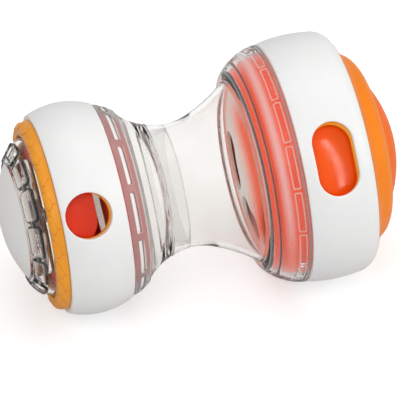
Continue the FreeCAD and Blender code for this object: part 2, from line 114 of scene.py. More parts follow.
class LargeWheelSizes(bpy.types.PropertyGroup):
    """Sizes of the large wheel"""

    crest: length_setting("Crest Radius", "Largest radius of the white band", 0.0575)
    band_width: length_setting("Band Width", "Width of the white band", 0.0322)
    outlet_width: length_setting("Outlet Width", "Width of the long outlet", 0.0189)
    outlet_length: length_setting("Outlet Length", "Length of the outlet round the wheel", 0.034)
    outlet_angle: angle_setting("Outlet Angle", "From straight up towards the front", 56.4)
    rim_softness: length_setting("Rim Softness", "Rounding of the outlet's edge", 0.0007)
    hub_radius: length_setting("Hub Radius", "Radius of the orange dome", 0.0308)
    hub_height: length_setting("Hub Height", "Height of the orange dome", 0.00918)


class SmallWheelSizes(bpy.types.PropertyGroup):
    """Sizes of the small wheel"""

    crest: length_setting("Crest Radius", "Largest radius of the white band", 0.04924)
    outlet_radius: length_setting("Outlet Radius", "Radius of the round outlet", 0.0106)
    outlet_angle: angle_setting("Outlet Angle", "From straight up towards the front", 58.4)
    rim_softness: length_setting("Rim Softness", "Rounding of the outlet's edge", 0.0005)
    hub_radius: length_setting("Hub Radius", "Radius of the pale dome", 0.0267)
    hub_height: length_setting("Hub Height", "Height of the pale dome", 0.00728)
    cell_count: count_setting("Cells", "Raised cells round the clear cover", 12)
    cell_width: length_setting("Cell Width", "Width of a cell across the cover", 0.0076)
    cell_gap: length_setting("Cell Gap", "Space between two cells", 0.0022)
    cell_height: length_setting("Cell Height", "How far a cell stands proud", 0.0009)
    leaf_count: count_setting("Leaves", "Leaf marks round the grip ring", 24)
    leaf_height: length_setting("Leaf Height", "How far a leaf mark stands proud", 0.0004)


class ClearHalfSizes(bpy.types.PropertyGroup):
    """Sizes of the two clear halves"""

    wall: length_setting("Wall", "Wall of the funnels", 0.0022)
    pocket_count: count_setting("Pockets", "Pockets in the small half's flange", 12)
    pocket_depth: length_setting("Pocket Depth", "Depth of those pockets", 0.0008)
    frame_count: count_setting("Frames", "Framed fields round the large half's shoulder", 16)
    frame_depth: length_setting("Frame Depth", "Depth of the line round a field", 0.0004)


class ToyColours(bpy.types.PropertyGroup):
    """Colours of the moulded pieces"""

    clear: colour_setting("Clear", "Tint of the clear plastic", (0.93, 0.925, 0.912))
    white: colour_setting("White", "White bands", (0.91, 0.915, 0.905))
    pale: colour_setting("Pale", "Small hub cap", (0.9, 0.885, 0.86))
    cream: colour_setting("Cream", "Divider disc and cup", (0.9, 0.87, 0.81))
    orange: colour_setting("Orange", "End cap", (1.0, 0.25, 0.006))
    light_orange: colour_setting("Light Orange", "Grip ring and liners", (1.0, 0.385, 0.022))
    red_orange: colour_setting("Red Orange", "Large drum", (1.0, 0.105, 0.004))
    deep_orange: colour_setting("Deep Orange", "Large hub cap", (1.0, 0.165, 0.004))
    # Painted shade: the small drum's red is a darker copy of the drums' red-orange, for the shade it sits
    # in.
    red: colour_setting("Red", "Small drum", (0.78, 0.042, 0.012))
    silicone: colour_setting("Silicone", "Waist seal and drag rings", (0.72, 0.7, 0.68))
    steel: colour_setting("Steel", "Screws and washers", (0.6, 0.6, 0.6))
    floor: colour_setting("Floor", "Floor under the toy", (0.72, 0.72, 0.72))


class StageSettings(bpy.types.PropertyGroup):
    """Camera and lamps"""

    azimuth: angle_setting("Azimuth", "Camera's turn round the toy from the front", -15.0)
    elevation: angle_setting("Elevation", "Camera's height above the horizon", 36.0)
    distance: length_setting("Distance", "From the camera to the toy", 2.0)
    frame_width: length_setting("Frame Width", "Width that the picture takes in at the toy", 0.184)
    drop: length_setting("Drop", "How far the picture's middle lies below the waist", 0.0089)
    key_power: power_setting("Key", "Large soft lamp, front left and above", 12.5)
    fill_power: power_setting("Fill", "Soft lamp on the right", 10.0)
    top_power: power_setting("Top", "Long soft lamp above and behind", 9.0)
    strip_power: power_setting("Strip", "Tall narrow lamp at the front", 3.6)
    sky: FloatProperty(
        name="Sky", description="Strength of the even light from all round", default=0.42, min=0)


# Outlines

def corner(x, r, soft=0.0):
    """A straight step of an outline to a corner, which may be softened."""
    return {"through": None, "end": (x, r), "soft": soft}


def bow(through, x, r, soft=0.0, spacing=1.1):
    """A round step of an outline through one point to another."""
    return {"through": through, "end": (x, r), "soft": soft, "spacing": spacing}


def circle_through(a, b, c):
    """Centre and radius of the circle through three points of an outline."""
    (ax, ay), (bx, by), (cx, cy) = a, b, c
    d = 2 * (ax * (by - cy) + bx * (cy - ay) + cx * (ay - by))
    ux = ((ax**2 + ay**2) * (by - cy) + (bx**2 + by**2) * (cy - ay) + (cx**2 + cy**2) * (ay - by)) / d
    uy = ((ax**2 + ay**2) * (cx - bx) + (bx**2 + by**2) * (ax - cx) + (cx**2 + cy**2) * (bx - ax)) / d
    return (ux, uy), math.hypot(ax - ux, ay - uy)


def sweep_between(a, b, c):
    """Centre, radius and signed sweep of the arc from a through b to c."""
    centre, radius = circle_through(a, b, c)
    first, middle, last = [math.atan2(r - centre[1], x - centre[0]) for x, r in (a, b, c)]
    sweep = (last - first) % math.tau
    if (middle - first) % math.tau > sweep:
        sweep -= math.tau
    return centre, radius, sweep


def drawn_in(points, distance):
    """Three points of an arc, moved towards its centre by a distance."""
    centre, radius = circle_through(*points)
    k = 1 - distance / radius
    return [(centre[0] + (x - centre[0]) * k, centre[1] + (r - centre[1]) * k) for x, r in points]


def traced(start, *steps, closed=True):
    """A new bmesh with one outline, drawn from a start through its steps."""
    bm = bmesh.new()
    first = last = bm.verts.new((start["end"][0], 0, start["end"][1]))
    soft = [(first, start["soft"])]
    for step in steps:
        if step["through"] is None:
            point = bm.verts.new((step["end"][0], 0, step["end"][1]))
            bm.edges.new((last, point))
            last = point
        else:
            centre, radius, sweep = sweep_between((last.co.x, last.co.z), step["through"], step["end"])
            made = bmesh.ops.spin(
                bm, geom=[last], cent=(centre[0], 0, centre[1]), axis=(0, -1, 0), angle=sweep,
                steps=max(2, math.ceil(abs(sweep) * radius / step["spacing"])))
            last = made["geom_last"][0]
        soft.append((last, step["soft"]))
    if closed:
        bm.edges.new((last, first))
    for point, radius in soft:
        if radius > 0:
            bmesh.ops.bevel(
                bm, geom=[point], offset=radius, offset_type="OFFSET", segments=3, profile=0.5,
                affect="VERTICES", material=-1)
    return bm


def spun(bm, steps=240):
    """Spins an outline round the toy's axis into a closed skin: a sixteenth of a turn first,
    then copies of what is there, since a long spin is slow."""
    share = 16
    bmesh.ops.spin(
        bm, geom=bm.verts[:] + bm.edges[:], cent=(0, 0, 0), axis=(1, 0, 0), angle=math.tau / share,
        steps=steps // share)
    while share > 1:
        made = bmesh.ops.duplicate(bm, geom=bm.verts[:] + bm.edges[:] + bm.faces[:])["geom"]
        copied = [g for g in made if isinstance(g, bmesh.types.BMVert)]
        bmesh.ops.rotate(bm, verts=copied, cent=(0, 0, 0), matrix=Matrix.Rotation(math.tau / share, 3, "X"))
        bmesh.ops.remove_doubles(bm, verts=bm.verts[:], dist=SAME_IN_OUTLINE)
        share //= 2
    bmesh.ops.recalc_face_normals(bm, faces=bm.faces[:])
    return bm


def ease(t):
    """Smooth step from 0 to 1."""
    t = min(max(t, 0.0), 1.0)
    return t * t * (3 - 2 * t)


def near(distance, reach):
    """1 on a line, falling smoothly to 0 at a distance from it."""
    return 1 - ease(abs(distance) / reach)


def field(u, v, half_u, half_v, round_by):
    """Distance outside a field with rounded corners, negative inside it."""
    du = abs(u) - half_u + round_by
    dv = abs(v) - half_v + round_by
    return math.hypot(max(du, 0), max(dv, 0)) + min(max(du, dv), 0) - round_by


def emboss(bm, points, lift, **marks):
    """Raises or sinks the skin along one arc of the outline by lift(x, r, turn), in millimetres.
    A turn is an angle round the axis from straight up towards the front. Each mark is a like
    function, whose values from 0 to 1 go into an attribute of its name."""
    centre, radius = circle_through(*points)
    kept = bm.verts.layers.float
    layers = [(kept.get(name) or kept.new(name), mark) for name, mark in marks.items()]
    slack, thickness = 0.01, 0.002
    low = min(points[0][0], points[2][0]) - slack
    high = max(points[0][0], points[2][0]) + slack
    away = 1 if points[1][1] > centre[1] else -1
    for vert in bm.verts:
        r = math.hypot(vert.co.y, vert.co.z)
        dx, dr = vert.co.x - centre[0], r - centre[1]
        if not low < vert.co.x < high or abs(math.hypot(dx, dr) - radius) > thickness:
            continue
        turn = math.atan2(-vert.co.y, vert.co.z)
        for layer, mark in layers:
            vert[layer] = mark(vert.co.x, r, turn)
        k = 1 + away * lift(vert.co.x, r, turn) / radius
        grow = (centre[1] + dr * k) / r
        vert.co = Vector((centre[0] + dx * k, vert.co.y * grow, vert.co.z * grow))


def nearest_of(turn, count, first):
    """Angle from the nearest of some marks spread evenly round the axis."""
    pitch = math.tau / count
    return (turn - first + pitch / 2) % pitch - pitch / 2


# Solids and objects

def port_cutter(x, width, length, surface, softness, low, segments=48):
    """Upright cutter for an outlet with round ends. Its walls flare at the surface, so that the
    outlet's edge comes out rounded. surface(x, y) is the height of the skin there."""
    bm = bmesh.new()
    bmesh.ops.create_circle(bm, cap_ends=False, segments=segments, radius=width / 2)
    bmesh.ops.rotate(bm, verts=bm.verts[:], matrix=Matrix.Rotation(math.pi / segments, 3, "Z"))
    half = (length - width) / 2
    if half > 0:
        for vert in bm.verts:
            vert.co.y += math.copysign(half, vert.co.y)
        sides = [e for e in bm.edges if e.calc_length() > half]
        bmesh.ops.subdivide_edges(bm, edges=sides, cuts=14)
    ring = bm.edges[:]
    rounding = [math.radians(a) for a in (0, 18, 36, 54, 72)]
    levels = [(softness * (1 - math.cos(a)), softness * (1 - math.sin(a))) for a in rounding]
    # The last of the flare stands clear of the skin, and the cutter goes straight up from there
    levels.append((levels[-1][0] + 0.45 * softness, levels[-1][1] - 0.16 * softness))
    levels.append((levels[-1][0], None))
    for vert in bm.verts:
        vert.co.z = low
    bottom = ring
    for out, depth in levels:
        made = bmesh.ops.extrude_edge_only(bm, edges=ring)["geom"]
        ring = [g for g in made if isinstance(g, bmesh.types.BMEdge)]
        for vert in [g for g in made if isinstance(g, bmesh.types.BMVert)]:
            spine = Vector((0, min(max(vert.co.y, -half), half)))
            way = (vert.co.xy - spine).normalized()
            place = spine + way * (width / 2 + out)
            height = CUTTER_TOP if depth is None else surface(x + place.x, place.y) - depth
            vert.co = Vector((place.x, place.y, height))
    bmesh.ops.edgeloop_fill(bm, edges=bottom)
    bmesh.ops.edgeloop_fill(bm, edges=ring)
    bmesh.ops.translate(bm, verts=bm.verts[:], vec=(x, 0, 0))
    bmesh.ops.recalc_face_normals(bm, faces=bm.faces[:])
    return bm


def upright_rod(x, radius, inner, outer):
    """Round cutter that points straight up, from one distance off the axis to another."""
    bm = bmesh.new()
    bmesh.ops.create_cone(
        bm, cap_ends=True, segments=96, radius1=radius, radius2=radius, depth=outer - inner)
    bmesh.ops.translate(bm, verts=bm.verts[:], vec=(x, 0, (inner + outer) / 2))
    return bm


def level_rod(x, r, radius, depth):
    """Round cutter that lies along the axis, straight above it at a distance r."""
    bm = bmesh.new()
    bmesh.ops.create_cone(bm, cap_ends=True, segments=48, radius1=radius, radius2=radius, depth=depth)
    bmesh.ops.rotate(bm, verts=bm.verts[:], matrix=Matrix.Rotation(math.pi / 2, 3, "Y"))
    bmesh.ops.translate(bm, verts=bm.verts[:], vec=(x, 0, r))
    return bm


def ring_part(x0, x1, inner, outer, spread):
    """Cutter in the shape of a part of a ring, with straight up in its middle."""
    longest_step = 0.03
    bm = bmesh.new()
    corners = [bm.verts.new((x, 0, r)) for x, r in ((x0, inner), (x1, inner), (x1, outer), (x0, outer))]
    bm.faces.new(corners)
    bmesh.ops.rotate(bm, verts=corners, cent=(0, 0, 0), matrix=Matrix.Rotation(-spread / 2, 3, "X"))
    bmesh.ops.spin(
        bm, geom=bm.verts[:] + bm.edges[:] + bm.faces[:], cent=(0, 0, 0), axis=(1, 0, 0), angle=spread,
        steps=math.ceil(spread / longest_step))
    bmesh.ops.recalc_face_normals(bm, faces=bm.faces[:])
    return bm


def turned(bm, angle):
    """Turns a drawn solid about the toy's axis, from straight up towards the front."""
    bmesh.ops.rotate(bm, verts=bm.verts[:], cent=(0, 0, 0), matrix=Matrix.Rotation(angle, 3, "X"))
    return bm


def held(bm, name):
    """An object that holds a drawn solid, for the floor or for the time of a cut."""
    mesh = bpy.data.meshes.new(name)
    bm.to_mesh(mesh)
    bm.free()
    holder = bpy.data.objects.new(name, mesh)
    bpy.context.scene.collection.objects.link(holder)
    return holder


def cut_out(bm, cutter):
    """One drawn solid less another."""
    body, tool = held(bm, "passing_body"), held(cutter, "passing_tool")
    modifier = body.modifiers.new("cut", "BOOLEAN")
    modifier.operation = "DIFFERENCE"
    modifier.solver = "EXACT"
    modifier.object = tool
    mesh = bpy.data.meshes.new_from_object(body.evaluated_get(bpy.context.evaluated_depsgraph_get()))
    result = bmesh.new()
    result.from_mesh(mesh)
    for holder in (body, tool):
        old = holder.data
        bpy.data.objects.remove(holder)
        bpy.data.meshes.remove(old)
    bpy.data.meshes.remove(mesh)
    return result


def toy_place():
    """From the outlines' own axes, in millimetres, to the frame, in metres."""
    hinge = next(joint for joint in frame["joints"] if joint["name"] == "large_wheel_turn")
    along = Vector(hinge["axis"]).normalized()
    up = (Vector((0, 0, 1)) - along * along.z).normalized()
    place = Matrix((along, up.cross(along), up)).transposed().to_4x4()
    place.translation = Vector(hinge["pos_m"]) - along * HINGE_STATION * MM
    return place @ Matrix.Scale(MM, 4)


def add_piece(bm, name, node, kind, sharp=32.0):
    """Puts a drawn piece on its body in the place of its CAD node. Its finish is of a kind."""
    bmesh.ops.transform(bm, matrix=toy_place(), verts=bm.verts[:])
    if any(not edge.is_manifold for edge in bm.edges):
        raise RuntimeError(name + " isn't a closed skin")
    place_piece(bm, name, node, kind, sharp)


def place_piece(bm, name, node, kind, sharp):
    """Makes an object of a solid and gives it its finish and its body."""
    mesh = bpy.data.meshes.new(name)
    bm.to_mesh(mesh)
    bm.free()
    mesh.shade_smooth()
    mesh.set_sharp_from_angle(angle=math.radians(sharp))
    mesh.materials.clear()
    mesh.materials.append(finish(kind))
    piece = bpy.data.objects.new(name, mesh)
    bpy.context.scene.collection.objects.link(piece)
    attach(piece, frame["nodes"][node]["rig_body"])
    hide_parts(node)


def add_welded(node, name, kind, sharp=28.0):
    """Adds a welded, smooth copy of a CAD node whose shape is right."""
    bm = bmesh.new()
    bm.from_mesh(frame["nodes"][node].data)
    bmesh.ops.remove_doubles(bm, verts=bm.verts[:], dist=SAME_IN_CAD)
    place_piece(bm, name, node, kind, sharp)


# Finishes

def new_material(name):
    """An empty node material with its shader and its object coordinates."""
    material = bpy.data.materials.new(name)
    material.use_nodes = True
    nodes, links = material.node_tree.nodes, material.node_tree.links
    nodes.clear()
    output = nodes.new("ShaderNodeOutputMaterial")
    shader = nodes.new("ShaderNodeBsdfPrincipled")
    links.new(shader.outputs["BSDF"], output.inputs["Surface"])
    place = nodes.new("ShaderNodeTexCoord")
    return material, nodes, links, shader, place.outputs["Object"]


def noise(nodes, links, place, scale, detail=3.0):
    """Noise over the piece."""
    node = nodes.new("ShaderNodeTexNoise")
    node.inputs["Scale"].default_value = scale
    node.inputs["Detail"].default_value = detail
    links.new(place, node.inputs["Vector"])
    return node.outputs["Fac"]


def ranged(nodes, links, value, low, high):
    """The middle of a noise spread between two values."""
    node = nodes.new("ShaderNodeMapRange")
    node.inputs["From Min"].default_value = 0.3
    node.inputs["From Max"].default_value = 0.7
    node.inputs["To Min"].default_value = low
    node.inputs["To Max"].default_value = high
    links.new(value, node.inputs["Value"])
    return node.outputs["Result"]


def feed(links, value, socket):
    """Gives a socket a number of its own, or links it to another node's result."""
    if isinstance(value, bpy.types.NodeSocket):
        links.new(value, socket)
    else:
        socket.default_value = value


def blended(nodes, links, value, low, high):
    """Two colours mixed by a value. The first may be another node's result."""
    node = nodes.new("ShaderNodeMix")
    node.data_type = "RGBA"
    feed(links, low if isinstance(low, bpy.types.NodeSocket) else (*low, 1), node.inputs["A"])
    node.inputs["B"].default_value = (*high, 1)
    links.new(value, node.inputs["Factor"])
    return node.outputs["Result"]


def calculated(nodes, links, operation, first, second):
    """Two values put together, each a number or another node's result."""
    node = nodes.new("ShaderNodeMath")
    node.operation = operation
    feed(links, first, node.inputs[0])
    feed(links, second, node.inputs[1])
    return node.outputs[0]


def attribute(nodes, name):
    """A value that the skin carries, which is 0 where it carries none."""
    node = nodes.new("ShaderNodeAttribute")
    node.attribute_name = name
    return node.outputs["Fac"]


def roughened(nodes, links, shader, height, strength, distance):
    """Small relief on the surface."""
    node = nodes.new("ShaderNodeBump")
    node.inputs["Strength"].default_value = strength
    node.inputs["Distance"].default_value = distance
    links.new(height, node.inputs["Height"])
    links.new(node.outputs["Normal"], shader.inputs["Normal"])


def moulded_plastic(name, colour, roughness, clouds=0.05, grain=0.12, glow=0.0, ior=1.4, deep=None):
    """Coloured moulded plastic: faint clouds in the colour, uneven gloss and a fine moulded skin. Where the
    skin carries the shade attribute, the colour goes over into painted shade, a darker copy of it, or into a
    painted glow of another colour where one is given."""
    material, nodes, links, shader, place = new_material(name)
    dark = [c * (1 - clouds) for c in colour]
    light = [min(1.0, c * (1 + clouds * 0.7)) for c in colour]
    cloud = ranged(nodes, links, noise(nodes, links, place, 45.0), 0.0, 1.0)
    # Painted shade: unless another colour is given, the shade is a darker, redder copy of the colour.
    deep = deep or (colour[0] * 0.75, colour[1] * 0.4, colour[2] * 0.5)
    clouded = blended(nodes, links, cloud, dark, light)
    shaded = blended(nodes, links, attribute(nodes, "shade"), clouded, deep)
    links.new(shaded, shader.inputs["Base Color"])
    gloss = ranged(nodes, links, noise(nodes, links, place, 190.0), roughness - 0.04, roughness + 0.05)
    links.new(gloss, shader.inputs["Roughness"])
    roughened(nodes, links, shader, noise(nodes, links, place, 1500.0, 2.0), grain, 0.00005)
    shader.inputs["IOR"].default_value = ior
    shader.inputs["Subsurface Weight"].default_value = glow
    shader.inputs["Subsurface Radius"].default_value = (1.0, 0.5, 0.3)
    shader.inputs["Subsurface Scale"].default_value = 0.002
    return material


def clear_plastic(name, colour, blush):
    """Clear moulded plastic with the slight waves that moulding leaves. The skin's own values make it milky
    (frost, which on the large half also paints highlights), lay painted shade on it (shade), or lay the
    drum's red on it as a painted red glow. Light from the lamps goes straight on through it."""
    material, nodes, links, shader, place = new_material(name)
    tinted = blended(nodes, links, attribute(nodes, "blush"), colour, blush)
    # Painted shade: where the skin carries shade, the clear plastic goes over into near black.
    shaded = blended(nodes, links, attribute(nodes, "shade"), tinted, (0.04, 0.045, 0.04))
    links.new(shaded, shader.inputs["Base Color"])
    clear = calculated(nodes, links, "SUBTRACT", 1.0, attribute(nodes, "frost"))
    links.new(clear, shader.inputs["Transmission Weight"])
    shader.inputs["IOR"].default_value = 1.2
    gloss = ranged(nodes, links, noise(nodes, links, place, 120.0), 0.02, 0.05)
    links.new(gloss, shader.inputs["Roughness"])
    roughened(nodes, links, shader, noise(nodes, links, place, 55.0, 2.0), 0.1, 0.0002)
    straight = nodes.new("ShaderNodeBsdfTransparent")
    straight.inputs["Color"].default_value = (*colour, 1)
    path = nodes.new("ShaderNodeLightPath")
    mix = nodes.new("ShaderNodeMixShader")
    links.new(path.outputs["Is Shadow Ray"], mix.inputs["Fac"])
    links.new(shader.outputs["BSDF"], mix.inputs[1])
    links.new(straight.outputs["BSDF"], mix.inputs[2])
    links.new(mix.outputs["Shader"], nodes["Material Output"].inputs["Surface"])
    return material


def soft_silicone(name, colour):
    """Matt silicone with a dusty skin."""
    material, nodes, links, shader, place = new_material(name)
    cloud = ranged(nodes, links, noise(nodes, links, place, 300.0), 0.0, 1.0)
    dusty = blended(nodes, links, cloud, [c * 0.85 for c in colour], [c * 1.1 for c in colour])
    links.new(dusty, shader.inputs["Base Color"])
    links.new(ranged(nodes, links, noise(nodes, links, place, 800.0), 0.5, 0.7), shader.inputs["Roughness"])
    return material


def brushed_steel(name, colour):
    """Turned steel with fine streaks."""
    material, nodes, links, shader, place = new_material(name)
    streak = nodes.new("ShaderNodeMapping")
    streak.inputs["Scale"].default_value = (4000.0, 300.0, 300.0)
    links.new(place, streak.inputs["Vector"])
    lines = noise(nodes, links, streak.outputs["Vector"], 1.0)
    links.new(blended(nodes, links, lines, [c * 0.8 for c in colour], colour), shader.inputs["Base Color"])
    links.new(ranged(nodes, links, lines, 0.25, 0.45), shader.inputs["Roughness"])
    shader.inputs["Metallic"].default_value = 1.0
    return material


# How the moulded plastics differ from each other
MOULDED = {
    "white_plastic": {"colour": "white", "roughness": 0.38, "clouds": 0.015, "glow": 0.1},
    "pale_plastic": {"colour": "pale", "roughness": 0.34, "clouds": 0.015, "grain": 0.05},
    # The cream disc's painted red glow from the drum goes over into the red-orange.
    "cream_plastic": {"colour": "cream", "roughness": 0.4, "clouds": 0.04, "deep": "red_orange"},
    "orange_plastic": {"colour": "orange", "roughness": 0.4, "ior": 1.28},
    "light_orange_plastic": {"colour": "light_orange", "roughness": 0.4},
    "deep_orange_plastic": {"colour": "deep_orange", "roughness": 0.42, "clouds": 0.04, "ior": 1.16},
    "red_orange_plastic": {"colour": "red_orange", "roughness": 0.1, "grain": 0.03},
    # Painted shade: a darker copy of the drum plastic, for the small drum.
    "red_plastic": {"colour": "red", "roughness": 0.22, "grain": 0.03},
}


def finish(kind):
    """The finish of a kind of plastic, rubber or metal, made once."""
    name = "feeder_" + kind
    if name in bpy.data.materials:
        return bpy.data.materials[name]
    return make_finish(name, kind, bpy.context.scene.feeder_colours)


def make_finish(name, kind, colours):
    """A new finish of a kind."""
    if kind == "clear_plastic":
        return clear_plastic(name, colours.clear, colours.red_orange)
    if kind == "silicone":
        return soft_silicone(name, colours.silicone)
    if kind == "steel":
        return brushed_steel(name, colours.steel)
    if kind not in MOULDED:
        raise RuntimeError("no finish is drawn for " + kind)
    settings = dict(MOULDED[kind])
    for use in ("colour", "deep"):
        if use in settings:
            settings[use] = getattr(colours, settings[use])
    return moulded_plastic(name, **settings)


# Operators, one for each piece or group of like pieces

class FEEDER_OT_stage(bpy.types.Operator):
    """Add the floor, the lamps, the even light and the camera"""

    bl_idname = "feeder.stage"
    bl_label = "Stage"

    def execute(self, context):
        settings = context.scene.feeder_stage
        self.floor(context.scene.feeder_colours.floor)
        self.sky(context.scene, settings.sky)
        middle = toy_place().translation
        self.lamp("key_lamp", settings.key_power, Vector((-0.9, -1.3, 1.5)), middle, (1.3, 1.3))
        self.lamp("fill_lamp", settings.fill_power, Vector((1.6, -0.7, 0.9)), middle, (0.9, 1.2))
        self.lamp("top_lamp", settings.top_power, Vector((0.2, 0.5, 1.8)), middle, (1.8, 0.7))
        self.lamp("strip_lamp", settings.strip_power, Vector((0.56, -1.66, 0.85)), middle, (0.08, 1.8))
        self.camera(context.scene, settings, middle)
        context.scene.view_settings.view_transform = "Standard"
        return {"FINISHED"}

    def floor(self, colour):
        """Pale floor that stays white to the camera and keeps the toy's shadow."""
        bm = bmesh.new()
        bmesh.ops.create_grid(bm, x_segments=4, y_segments=4, size=6.0)
        plane = held(bm, "floor")
        plane.data.materials.append(self.floor_finish(colour))

    def floor_finish(self, colour):
        """Matt pale paper, lightened where it is seen straight or through the clear plastic."""
        material, nodes, links, shader, place = new_material("floor_paper")
        soft = ranged(nodes, links, noise(nodes, links, place, 6.0), 0.0, 1.0)
        paper = blended(nodes, links, soft, [c * 0.985 for c in colour], colour)
        links.new(paper, shader.inputs["Base Color"])
        shader.inputs["Roughness"].default_value = 0.8
        shader.inputs["Specular IOR Level"].default_value = 0.2
        shader.inputs["Emission Color"].default_value = (1, 1, 1, 1)
        lightened = calculated(nodes, links, "MULTIPLY", self.seen(nodes, links), 0.5)
        links.new(lightened, shader.inputs["Emission Strength"])
        return material

    def seen(self, nodes, links):
        """1 for what the camera sees, straight or through the clear plastic."""
        path = nodes.new("ShaderNodeLightPath")
        straight, through = path.outputs["Is Camera Ray"], path.outputs["Is Transmission Ray"]
        return calculated(nodes, links, "MAXIMUM", straight, through)

    def sky(self, scene, strength):
        """Even light from all round, which shows white to the camera, also through the clear plastic."""
        world = bpy.data.worlds.new("studio")
        scene.world = world
        world.use_nodes = True
        nodes, links = world.node_tree.nodes, world.node_tree.links
        nodes.clear()
        output = nodes.new("ShaderNodeOutputWorld")
        light = nodes.new("ShaderNodeBackground")
        white = nodes.new("ShaderNodeBackground")
        light.inputs["Strength"].default_value = strength
        white.inputs["Strength"].default_value = 1.0
        light.inputs["Color"].default_value = (1, 1, 1, 1)
        white.inputs["Color"].default_value = (1, 1, 1, 1)
        mix = nodes.new("ShaderNodeMixShader")
        links.new(self.seen(nodes, links), mix.inputs["Fac"])
        links.new(light.outputs[0], mix.inputs[1])
        links.new(white.outputs[0], mix.inputs[2])
        links.new(mix.outputs[0], output.inputs["Surface"])

    def lamp(self, name, power, spot, target, size):
        """Soft lamp that faces the toy and doesn't show through the clear plastic."""
        data = bpy.data.lights.new(name, "AREA")
        data.energy = power
        data.shape = "RECTANGLE"
        data.size, data.size_y = size
        holder = bpy.data.objects.new(name, data)
        holder.location = spot
        holder.rotation_euler = (target - spot).to_track_quat("-Z", "Y").to_euler()
        holder.visible_transmission = False
        bpy.context.scene.collection.objects.link(holder)

    def camera(self, scene, settings, middle):
        """Long lens at the photograph's angle."""
        a, e = settings.azimuth, settings.elevation
        back = Vector((math.sin(a) * math.cos(e), -math.cos(a) * math.cos(e), math.sin(e)))
        turn = (-back).to_track_quat("-Z", "Y")
        target = middle - turn @ Vector((0, 1, 0)) * settings.drop
        data = bpy.data.cameras.new("camera")
        data.sensor_width = 36.0
        data.lens = data.sensor_width * settings.distance / settings.frame_width
        data.clip_start, data.clip_end = 0.1, 20.0
        holder = bpy.data.objects.new("camera", data)
        holder.location = target + back * settings.distance
        holder.rotation_mode = "QUATERNION"
        holder.rotation_quaternion = turn
        scene.collection.objects.link(holder)
        scene.camera = holder


class FEEDER_OT_large_clear_half(bpy.types.Operator):
    """Add the clear funnel and stepped shoulder of the large half"""

    bl_idname = "feeder.large_clear_half"
    bl_label = "Large Clear Half"

    def execute(self, context):
        sizes = context.scene.feeder_clear
        funnel = [(0.9, 31.4), (10.3, 35.9), (19.0, 41.9)]
        shoulder = [(20.2, 45.9), (27.4, 52.4), (37.7, 55.9)]
        bm = self.shell(funnel, drawn_in(funnel, -sizes.wall / MM), shoulder)
        self.line(bm, shoulder, sizes.frame_count, sizes.frame_depth / MM)
        self.redden(bm)
        add_piece(bm, "clear_large_half", "large_clear_half", "clear_plastic", sharp=40)
        return {"FINISHED"}

    def shell(self, funnel, inside, shoulder):
        """Socket, funnel and stepped shoulder."""
        return spun(traced(
            corner(-20.7, 27.5, 0.2),
            corner(-20.7, 31.2, 0.35),
            bow((-12.5, 29.1), *funnel[0], spacing=1.8),
            bow(funnel[1], *funnel[2], soft=0.4, spacing=1.8),
            corner(*shoulder[0], soft=0.5),
            bow(shoulder[1], *shoulder[2], soft=0.3, spacing=0.33),
            corner(37.7, 54.3),
            corner(40.7, 54.3, 0.2),
            corner(40.7, 52.1, 0.2),
            corner(31.0, 52.1),
            corner(22.6, 46.2, 0.4),
            corner(22.6, 41.8, 0.2),
            corner(*inside[2], soft=0.3),
            bow(inside[1], *inside[0], spacing=1.8),
            corner(-12.2, 26.9, 0.2),
            corner(-12.2, 27.5, 0.2)), LARGE_FINE)

    def line(self, bm, shoulder, count, depth):
        """Grooves, painted dark lines and haze on the shoulder: from left to right a ring, a soft band of
        painted highlight, framed fields and the rim."""
        ring_x, highlight_band_x, fields_x, rim_x = 24.2, 28.6, 33.6, 36.8
        half_pitch = math.pi / count

        def lined(x, r, turn):
            """1 on the lines round the fields and on the ring before them, 0 elsewhere."""
            across = nearest_of(turn, count, -half_pitch) * r
            edge = field(x - fields_x, across, 1.5, half_pitch * r - 1.0, 0.5)
            return max(near(edge, 0.45), near(x - ring_x, 0.7))

        def sunk(x, r, turn):
            """The same lines as shallow grooves."""
            return -depth * lined(x, r, turn)

        def dark(x, r, turn):
            """Painted shade on the ring in the middle and along the rim."""
            return max(near(x - ring_x, 0.8), 0.6 * near(x - rim_x, 1.0))

        def milky(x, r, turn):
            """Haze beside the funnel and in the soft band, both painted highlight, with pale lines round the
            fields.
            """
            painted_highlight_by_funnel = 0.35 * (1 - ease((x - 20.0) / 2.0))
            # Painted highlight: the soft band is pale at the top and fades out lower down at the front.
            soft = 0.42 * near(x - highlight_band_x, 3.2) * (1 - ease((turn - 1.2) / 1.0))
            seam = 0.5 * near(x - ring_x, 0.8)
            rim = 0.45 * near(x - rim_x, 1.0)
            fields = 0.5 * lined(x, r, turn) if x > 31.0 else 0.0
            return 0.05 + max(painted_highlight_by_funnel, soft, seam, rim, fields)

        emboss(bm, shoulder, sunk, shade=dark, frost=milky)

    def redden(self, bm):
        """Painted red glow from the drum on the funnel's wide end, at the front, where the plastic is also
        made milkier.
        """
        first, full, last = 12.5, 19.0, 19.2
        blush = bm.verts.layers.float.new("blush")
        frost = bm.verts.layers.float["frost"]
        for vert in bm.verts:
            if not first < vert.co.x < last:
                continue
            turn = math.atan2(-vert.co.y, vert.co.z)
            facing = ease((turn + 0.3) / 0.8) * (1 - ease((turn - 1.6) / 0.7))
            vert[blush] = 0.9 * facing * ease((vert.co.x - first) / (full - first))
            vert[frost] = max(vert[frost], 0.4 * vert[blush])


